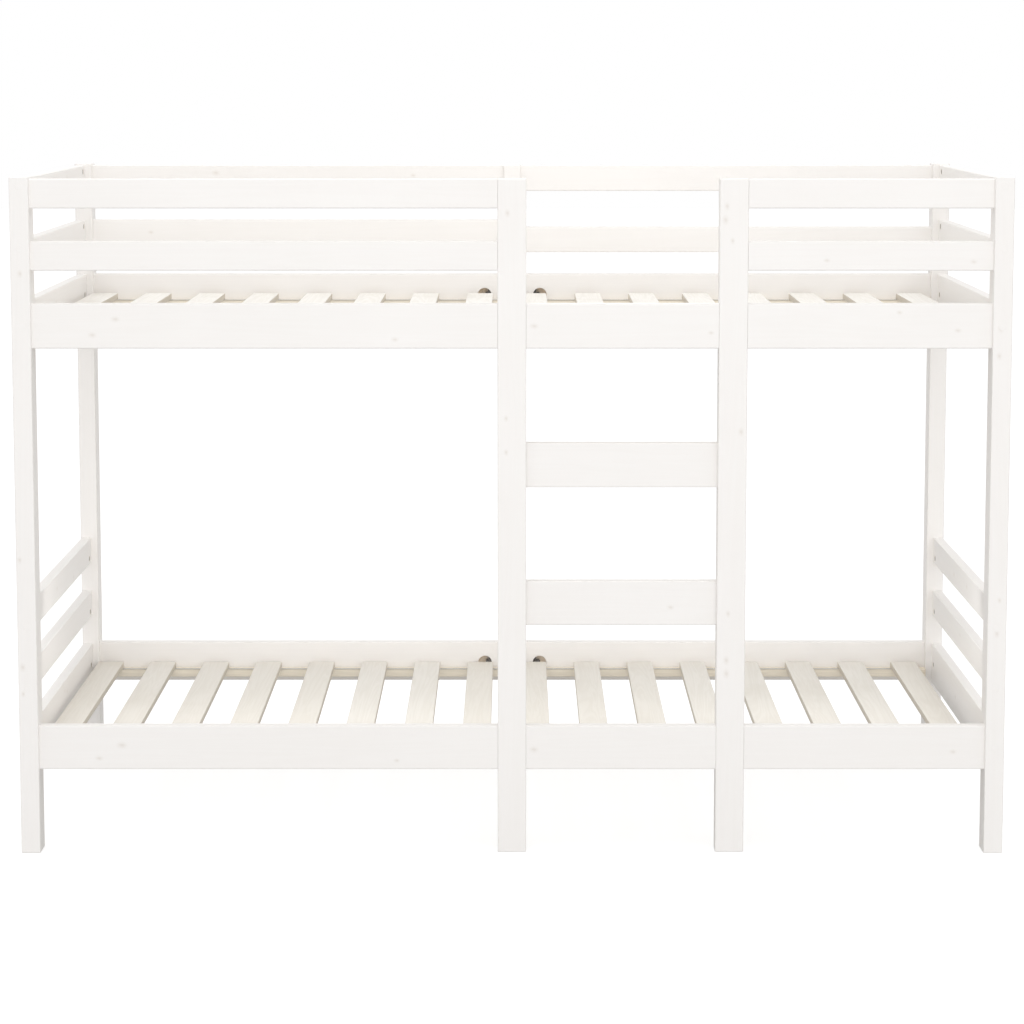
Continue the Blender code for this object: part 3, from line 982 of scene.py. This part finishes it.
def swept_bar(tree, width, thickness, corner, start, end):
    """A straight bar with a rounded section; returns its geometry."""
    section = node(
        tree, "GeometryNodeCurvePrimitiveQuadrilateral", {"Width": width, "Height": thickness}
    )
    softened = node(
        tree, "GeometryNodeFilletCurve",
        {"Curve": section.outputs[0], "Count": CORNER_STEPS, "Radius": corner}, mode="POLY",
    )
    line = node(tree, "GeometryNodeCurvePrimitiveLine", {"Start": start, "End": end})
    bar = node(
        tree, "GeometryNodeCurveToMesh",
        {"Curve": line.outputs[0], "Profile Curve": softened.outputs[0], "Fill Caps": True},
    )
    return bar.outputs[0]


def vector_of(tree, x=0.0, y=0.0, z=0.0):
    """A vector from three values or links."""
    return node(tree, "ShaderNodeCombineXYZ", {"X": x, "Y": y, "Z": z}).outputs[0]


slat_tree, slat_in, slat_end = start_shape_tree("slat_row", {
    "Slat Width": (FLOAT, 0.061), "Slat Thickness": (FLOAT, 0.015), "Slat Length": (FLOAT, 0.872),
    "Corner": (FLOAT, 0.002), "Looseness": (FLOAT, 0.0004), "Seed": (INTEGER, 3),
    "Wood": (MATERIAL, None),
})
half_length = maths(slat_tree, "MULTIPLY", slat_in["Slat Length"], 0.5)
slat_bar = swept_bar(
    slat_tree, slat_in["Slat Width"], slat_in["Slat Thickness"], slat_in["Corner"],
    vector_of(slat_tree, y=maths(slat_tree, "MULTIPLY", half_length, -1.0)),
    vector_of(slat_tree, y=half_length),
)
loose = slat_in["Looseness"]
nudge = node(slat_tree, "ShaderNodeVectorMath", {
    0: random_node(slat_tree, "FLOAT_VECTOR", (-1, -0.5, 0), (1, 0.5, 0), slat_in["Seed"]),
}, operation="SCALE")
slat_tree.links.new(loose, nudge.inputs["Scale"])
nudged = node(
    slat_tree, "GeometryNodeSetPosition",
    {"Geometry": slat_in["Points"], "Offset": nudge.outputs[0]},
)
slat_turn = random_node(
    slat_tree, "FLOAT_VECTOR", (0, 0, -MOST_TURN), (0, 0, MOST_TURN), slat_in["Seed"]
)
placed = node(
    slat_tree, "GeometryNodeInstanceOnPoints",
    {"Points": nudged.outputs[0], "Instance": slat_bar, "Rotation": slat_turn},
)
toned = node(
    slat_tree, "GeometryNodeStoreNamedAttribute",
    {"Geometry": placed.outputs[0], "Name": "tone",
     "Value": random_node(slat_tree, "FLOAT", 0.0, MOST_TONE, slat_in["Seed"])},
    data_type="FLOAT", domain="INSTANCE",
)
end_shape_tree(slat_tree, slat_end, toned.outputs[0], slat_in["Wood"])
print("slat tree:", len(slat_tree.nodes), "nodes")

# %% [markdown]
# ## Tapes
# A tape is the same kind of sweep as a slat, only flat, and as long as the row. Its tree has no
# chance in it: the tape is pulled straight when the roll is laid out.

# %% Tape tree
TAPE_CORNER = 0.0004

tape_tree, tape_in, tape_end = start_shape_tree("tape", {
    "Tape Width": (FLOAT, 0.012), "Tape Thickness": (FLOAT, 0.0012), "Tape Length": (FLOAT, 1.9),
    "Weave": (MATERIAL, None),
})
half_tape = maths(tape_tree, "MULTIPLY", tape_in["Tape Length"], 0.5)
tape_bar = swept_bar(
    tape_tree, tape_in["Tape Width"], tape_in["Tape Thickness"], TAPE_CORNER,
    vector_of(tape_tree, x=maths(tape_tree, "MULTIPLY", half_tape, -1.0)),
    vector_of(tape_tree, x=half_tape),
)
tapes_placed = node(
    tape_tree, "GeometryNodeInstanceOnPoints", {"Points": tape_in["Points"], "Instance": tape_bar}
)
end_shape_tree(tape_tree, tape_end, tapes_placed.outputs[0], tape_in["Weave"])
print("tape tree:", len(tape_tree.nodes), "nodes")

# %% [markdown]
# ## Two rolls of slats
# The measured slat base gives the row its length and its width. The first and the last slat lie
# flush with its ends, the others divide the space between them evenly, and the tapes lie just
# inside the slats' ends. The narrow sides of the slats are marked for a darker colour, painted shade.

# %% Build the slat bases
SLATS = 16
SLAT_WIDTH = 0.061
SLAT_THICKNESS = 0.015
TAPE_WIDTH = 0.012
TAPE_THICKNESS = 0.0012
TAPE_INSET = 0.0065
SLAT_PLAY = 0.001               # how much shorter than the measured base the slats are cut
SLAT_SEEDS = {"lower": 3, "upper": 11}
SIDEWAYS = 0.8                  # a face that looks more than this along the bed is a side


def join(name, first, *others):
    """Join pieces into the first one, keeping every material."""
    with bpy.context.temp_override(
        active_object=first, object=first, selected_objects=[first, *others],
        selected_editable_objects=[first, *others],
    ):
        bpy.ops.object.join()
    first.name = name
    return first


slat_bases = []
for level in ("lower", "upper"):
    low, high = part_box(f"{level}_slat_base")
    first_x, last_x = low.x + SLAT_WIDTH / 2, high.x - SLAT_WIDTH / 2
    slat_z = high.z - SLAT_THICKNESS / 2
    step = (last_x - first_x) / (SLATS - 1)
    slats = grow(
        f"{level}_slats", slat_tree,
        [(first_x + i * step, (low.y + high.y) / 2, slat_z) for i in range(SLATS)],
        {"Slat Width": SLAT_WIDTH, "Slat Thickness": SLAT_THICKNESS,
         "Slat Length": high.y - low.y - SLAT_PLAY, "Seed": SLAT_SEEDS[level],
         "Wood": SLAT_WOODS[level]},
    )
    tape_z = high.z - SLAT_THICKNESS - TAPE_THICKNESS / 2
    tapes = grow(
        f"{level}_tapes", tape_tree,
        [((first_x + last_x) / 2, y, tape_z) for y in (low.y + TAPE_INSET, high.y - TAPE_INSET)],
        {"Tape Width": TAPE_WIDTH, "Tape Thickness": TAPE_THICKNESS,
         "Tape Length": last_x - first_x + SLAT_WIDTH / 2, "Weave": TAPE},
    )
    # Marks the side faces that the slat wood darkens as painted shade.
    mark_faces(slats, "painted_side_shade", lambda face: abs(face.normal.x) > SIDEWAYS)
    base = join(f"{level}_slats_on_tapes", slats, tapes)
    base.data.shade_smooth()
    base.data.set_sharp_from_angle(angle=SHARP_ANGLE)
    seat(base, "slat_wood", f"{level}_slat_base")
    slat_bases.append(base)
    print(base.name, len(base.data.polygons), "faces", [m.name for m in base.data.materials])

# %% [markdown]
# ## Plugs, barrel nuts and bolt heads
# All three are short turned stubs. A plug is a disc of wood, painted with the post. A barrel nut
# is a steel stub with a screwdriver slot that shows as a dark spot in its hole. A bolt head has
# a hexagonal hole for the key. One helper makes the stub: a cylinder whose top face is pushed
# out and drawn in, which leaves a fine chamfer.

# %% Stub trees
STUB_SIDES = 28
TOP_SHARE = 0.93                # of the stub's width, left flat inside the chamfer
SLOT_SHARES = (2.4, 0.26, 0.5)  # the slot's length, width and depth, as shares of the radius
KEY_SHARE = 0.42
KEY_DEPTH = 0.006


def chamfered_stub(tree, radius, depth, chamfer):
    """A cylinder from -depth to 0 along Z with a chamfered top; returns its geometry."""
    body = node(
        tree, "GeometryNodeMeshCylinder",
        {"Vertices": STUB_SIDES, "Radius": radius,
         "Depth": maths(tree, "SUBTRACT", depth, chamfer)},
    )
    pushed = node(
        tree, "GeometryNodeExtrudeMesh",
        {"Mesh": body.outputs["Mesh"], "Selection": body.outputs["Top"], "Offset Scale": chamfer},
        mode="FACES",
    )
    drawn = node(
        tree, "GeometryNodeScaleElements",
        {"Geometry": pushed.outputs["Mesh"], "Selection": pushed.outputs["Top"],
         "Scale": TOP_SHARE},
    )
    lowered = node(
        tree, "GeometryNodeTransform",
        {"Geometry": drawn.outputs[0], "Translation": vector_of(
            tree, z=maths(tree, "MULTIPLY", maths(tree, "ADD", depth, chamfer), -0.5))},
    )
    return lowered.outputs[0]


def stub_tree(name, cutter_of=None):
    """Stubs on points, turned by a rotation, with an optional shape cut from each."""
    tree, sockets, end = start_shape_tree(name, {
        "Radius": (FLOAT, 0.008), "Depth": (FLOAT, 0.003), "Chamfer": (FLOAT, 0.0003),
        "Turn": (VECTOR, (0.0, 0.0, 0.0)), "Finish": (MATERIAL, None),
    })
    stub = chamfered_stub(tree, sockets["Radius"], sockets["Depth"], sockets["Chamfer"])
    if cutter_of:
        stub = node(
            tree, "GeometryNodeMeshBoolean",
            {"Mesh 1": stub, "Mesh 2": cutter_of(tree, sockets["Radius"])},
            operation="DIFFERENCE",
        ).outputs["Mesh"]
    placed = node(
        tree, "GeometryNodeInstanceOnPoints",
        {"Points": sockets["Points"], "Instance": stub, "Rotation": sockets["Turn"]},
    )
    end_shape_tree(tree, end, placed.outputs[0], sockets["Finish"])
    return tree


def driver_slot(tree, radius):
    """A straight slot across the whole stub."""
    size = vector_of(tree, *[maths(tree, "MULTIPLY", radius, share) for share in SLOT_SHARES])
    return node(tree, "GeometryNodeMeshCube", {"Size": size}).outputs["Mesh"]


def key_socket(tree, radius):
    """A hexagonal hole for a key."""
    return node(
        tree, "GeometryNodeMeshCylinder",
        {"Vertices": 6, "Radius": maths(tree, "MULTIPLY", radius, KEY_SHARE), "Depth": KEY_DEPTH},
    ).outputs["Mesh"]


plug_tree = stub_tree("wooden_plug")
barrel_nut_tree = stub_tree("barrel_nut", driver_slot)
bolt_head_tree = stub_tree("key_bolt_head", key_socket)
print("three stub trees")

# %% [markdown]
# ## Stubs in their holes
# A stub is drawn standing on its place and looking up, so each set is turned to look out of its
# holes. Plugs are flush with the post. Nuts and heads lie a little below the wood around them,
# so their places are moved into the wood first.

# %% Set the plugs, nuts and heads
NUT_SUNK = 0.0006
HEAD_SUNK = 0.0015
PLUG_CHAMFER, NUT_CHAMFER, HEAD_CHAMFER = 0.0002, 0.0005, 0.0006
FACES = {"front": (pi / 2, 0, 0), "back": (-pi / 2, 0, 0)}
TOWARDS = {"left": (0, pi / 2, 0), "right": (0, -pi / 2, 0)}

for face, turn in FACES.items():
    places = [place for owner, place in plug_places if f"_{face}_" in owner]
    plugs = grow(f"plugs_{face}", plug_tree, places, {
        "Radius": PLUG_RADIUS, "Depth": PLUG_DEPTH, "Chamfer": PLUG_CHAMFER, "Turn": turn,
        "Finish": PLUG_PAINT,
    })
    seat(plugs, "post_paint")
    print(plugs.name, len(plugs.data.polygons), "faces")

for end, side in SIDES.items():
    inward = Vector((-side, 0, 0))
    nuts = grow(f"barrel_nuts_{end}", barrel_nut_tree,
                [place - inward * NUT_SUNK for place in nut_places[end]], {
        "Radius": NUT_HOLE_RADIUS - FIT, "Depth": NUT_HOLE_DEPTH - NUT_SUNK - FIT,
        "Chamfer": NUT_CHAMFER, "Turn": TOWARDS[end], "Finish": STEEL,
    })
    seat(nuts, "dark_steel")
    outward = "right" if end == "left" else "left"
    sunk = inward * HEAD_SUNK
    heads = grow(f"bolt_heads_{end}", bolt_head_tree,
                 [place + sunk for owner, place in head_places if owner.endswith(end)], {
        "Radius": KEY_HOLE_RADIUS - FIT, "Depth": KEY_HOLE_DEPTH - HEAD_SUNK - FIT,
        "Chamfer": HEAD_CHAMFER, "Turn": TOWARDS[outward], "Finish": STEEL,
    })
    seat(heads, "dark_steel")
    print(nuts.name, len(nuts.data.polygons), heads.name, len(heads.data.polygons))

# %% [markdown]
# ## The bolts behind the middle post
# Each back rail is pulled against the middle post by one long bolt that crosses the post and ends
# in a pocket on either side. A half-moon washer spreads the pull over the round wall of the
# pocket, the head bears on one and the nut on the other. The measured shapes are already right
# here, so each is taken as a copy, its flat faces are merged, and its corners are worn a little.

# %% Bolts, washers and nuts
HEX_BEVEL = 0.0005
HEX_BEVEL_STEPS = 2
HEX_BEVEL_FROM = radians(40)    # only edges sharper than this are worn
STEEL_SHARP_ANGLE = radians(35)
MERGE_DISTANCE = 0.00001
FLAT_ANGLE = radians(1)


def own_copy(name, measured):
    """A merged copy of a measured piece, so that it can be refined."""
    mesh = frame["nodes"][measured].data.copy()
    shape = bmesh.new()
    shape.from_mesh(mesh)
    bmesh.ops.remove_doubles(shape, verts=shape.verts, dist=MERGE_DISTANCE)
    bmesh.ops.dissolve_limit(
        shape, angle_limit=FLAT_ANGLE, verts=shape.verts, edges=shape.edges
    )
    shape.to_mesh(mesh)
    shape.free()
    mesh.materials.clear()
    mesh.materials.append(STEEL)
    return link_object(name, mesh)


for name in sorted(frame["nodes"]):
    if name.startswith(("half_moon_washer", "middle_bolt", "hex_nut")):
        piece = own_copy(name + "_steel", name)
        bevel = piece.modifiers.new("worn_corners", "BEVEL")
        bevel.width = HEX_BEVEL
        bevel.segments = HEX_BEVEL_STEPS
        bevel.limit_method = "ANGLE"
        bevel.angle_limit = HEX_BEVEL_FROM
        apply_modifiers(piece)
        piece.data.shade_smooth()
        piece.data.set_sharp_from_angle(angle=STEEL_SHARP_ANGLE)
        seat(piece, "dark_steel", name)
        print(piece.name, len(piece.data.polygons), "faces")
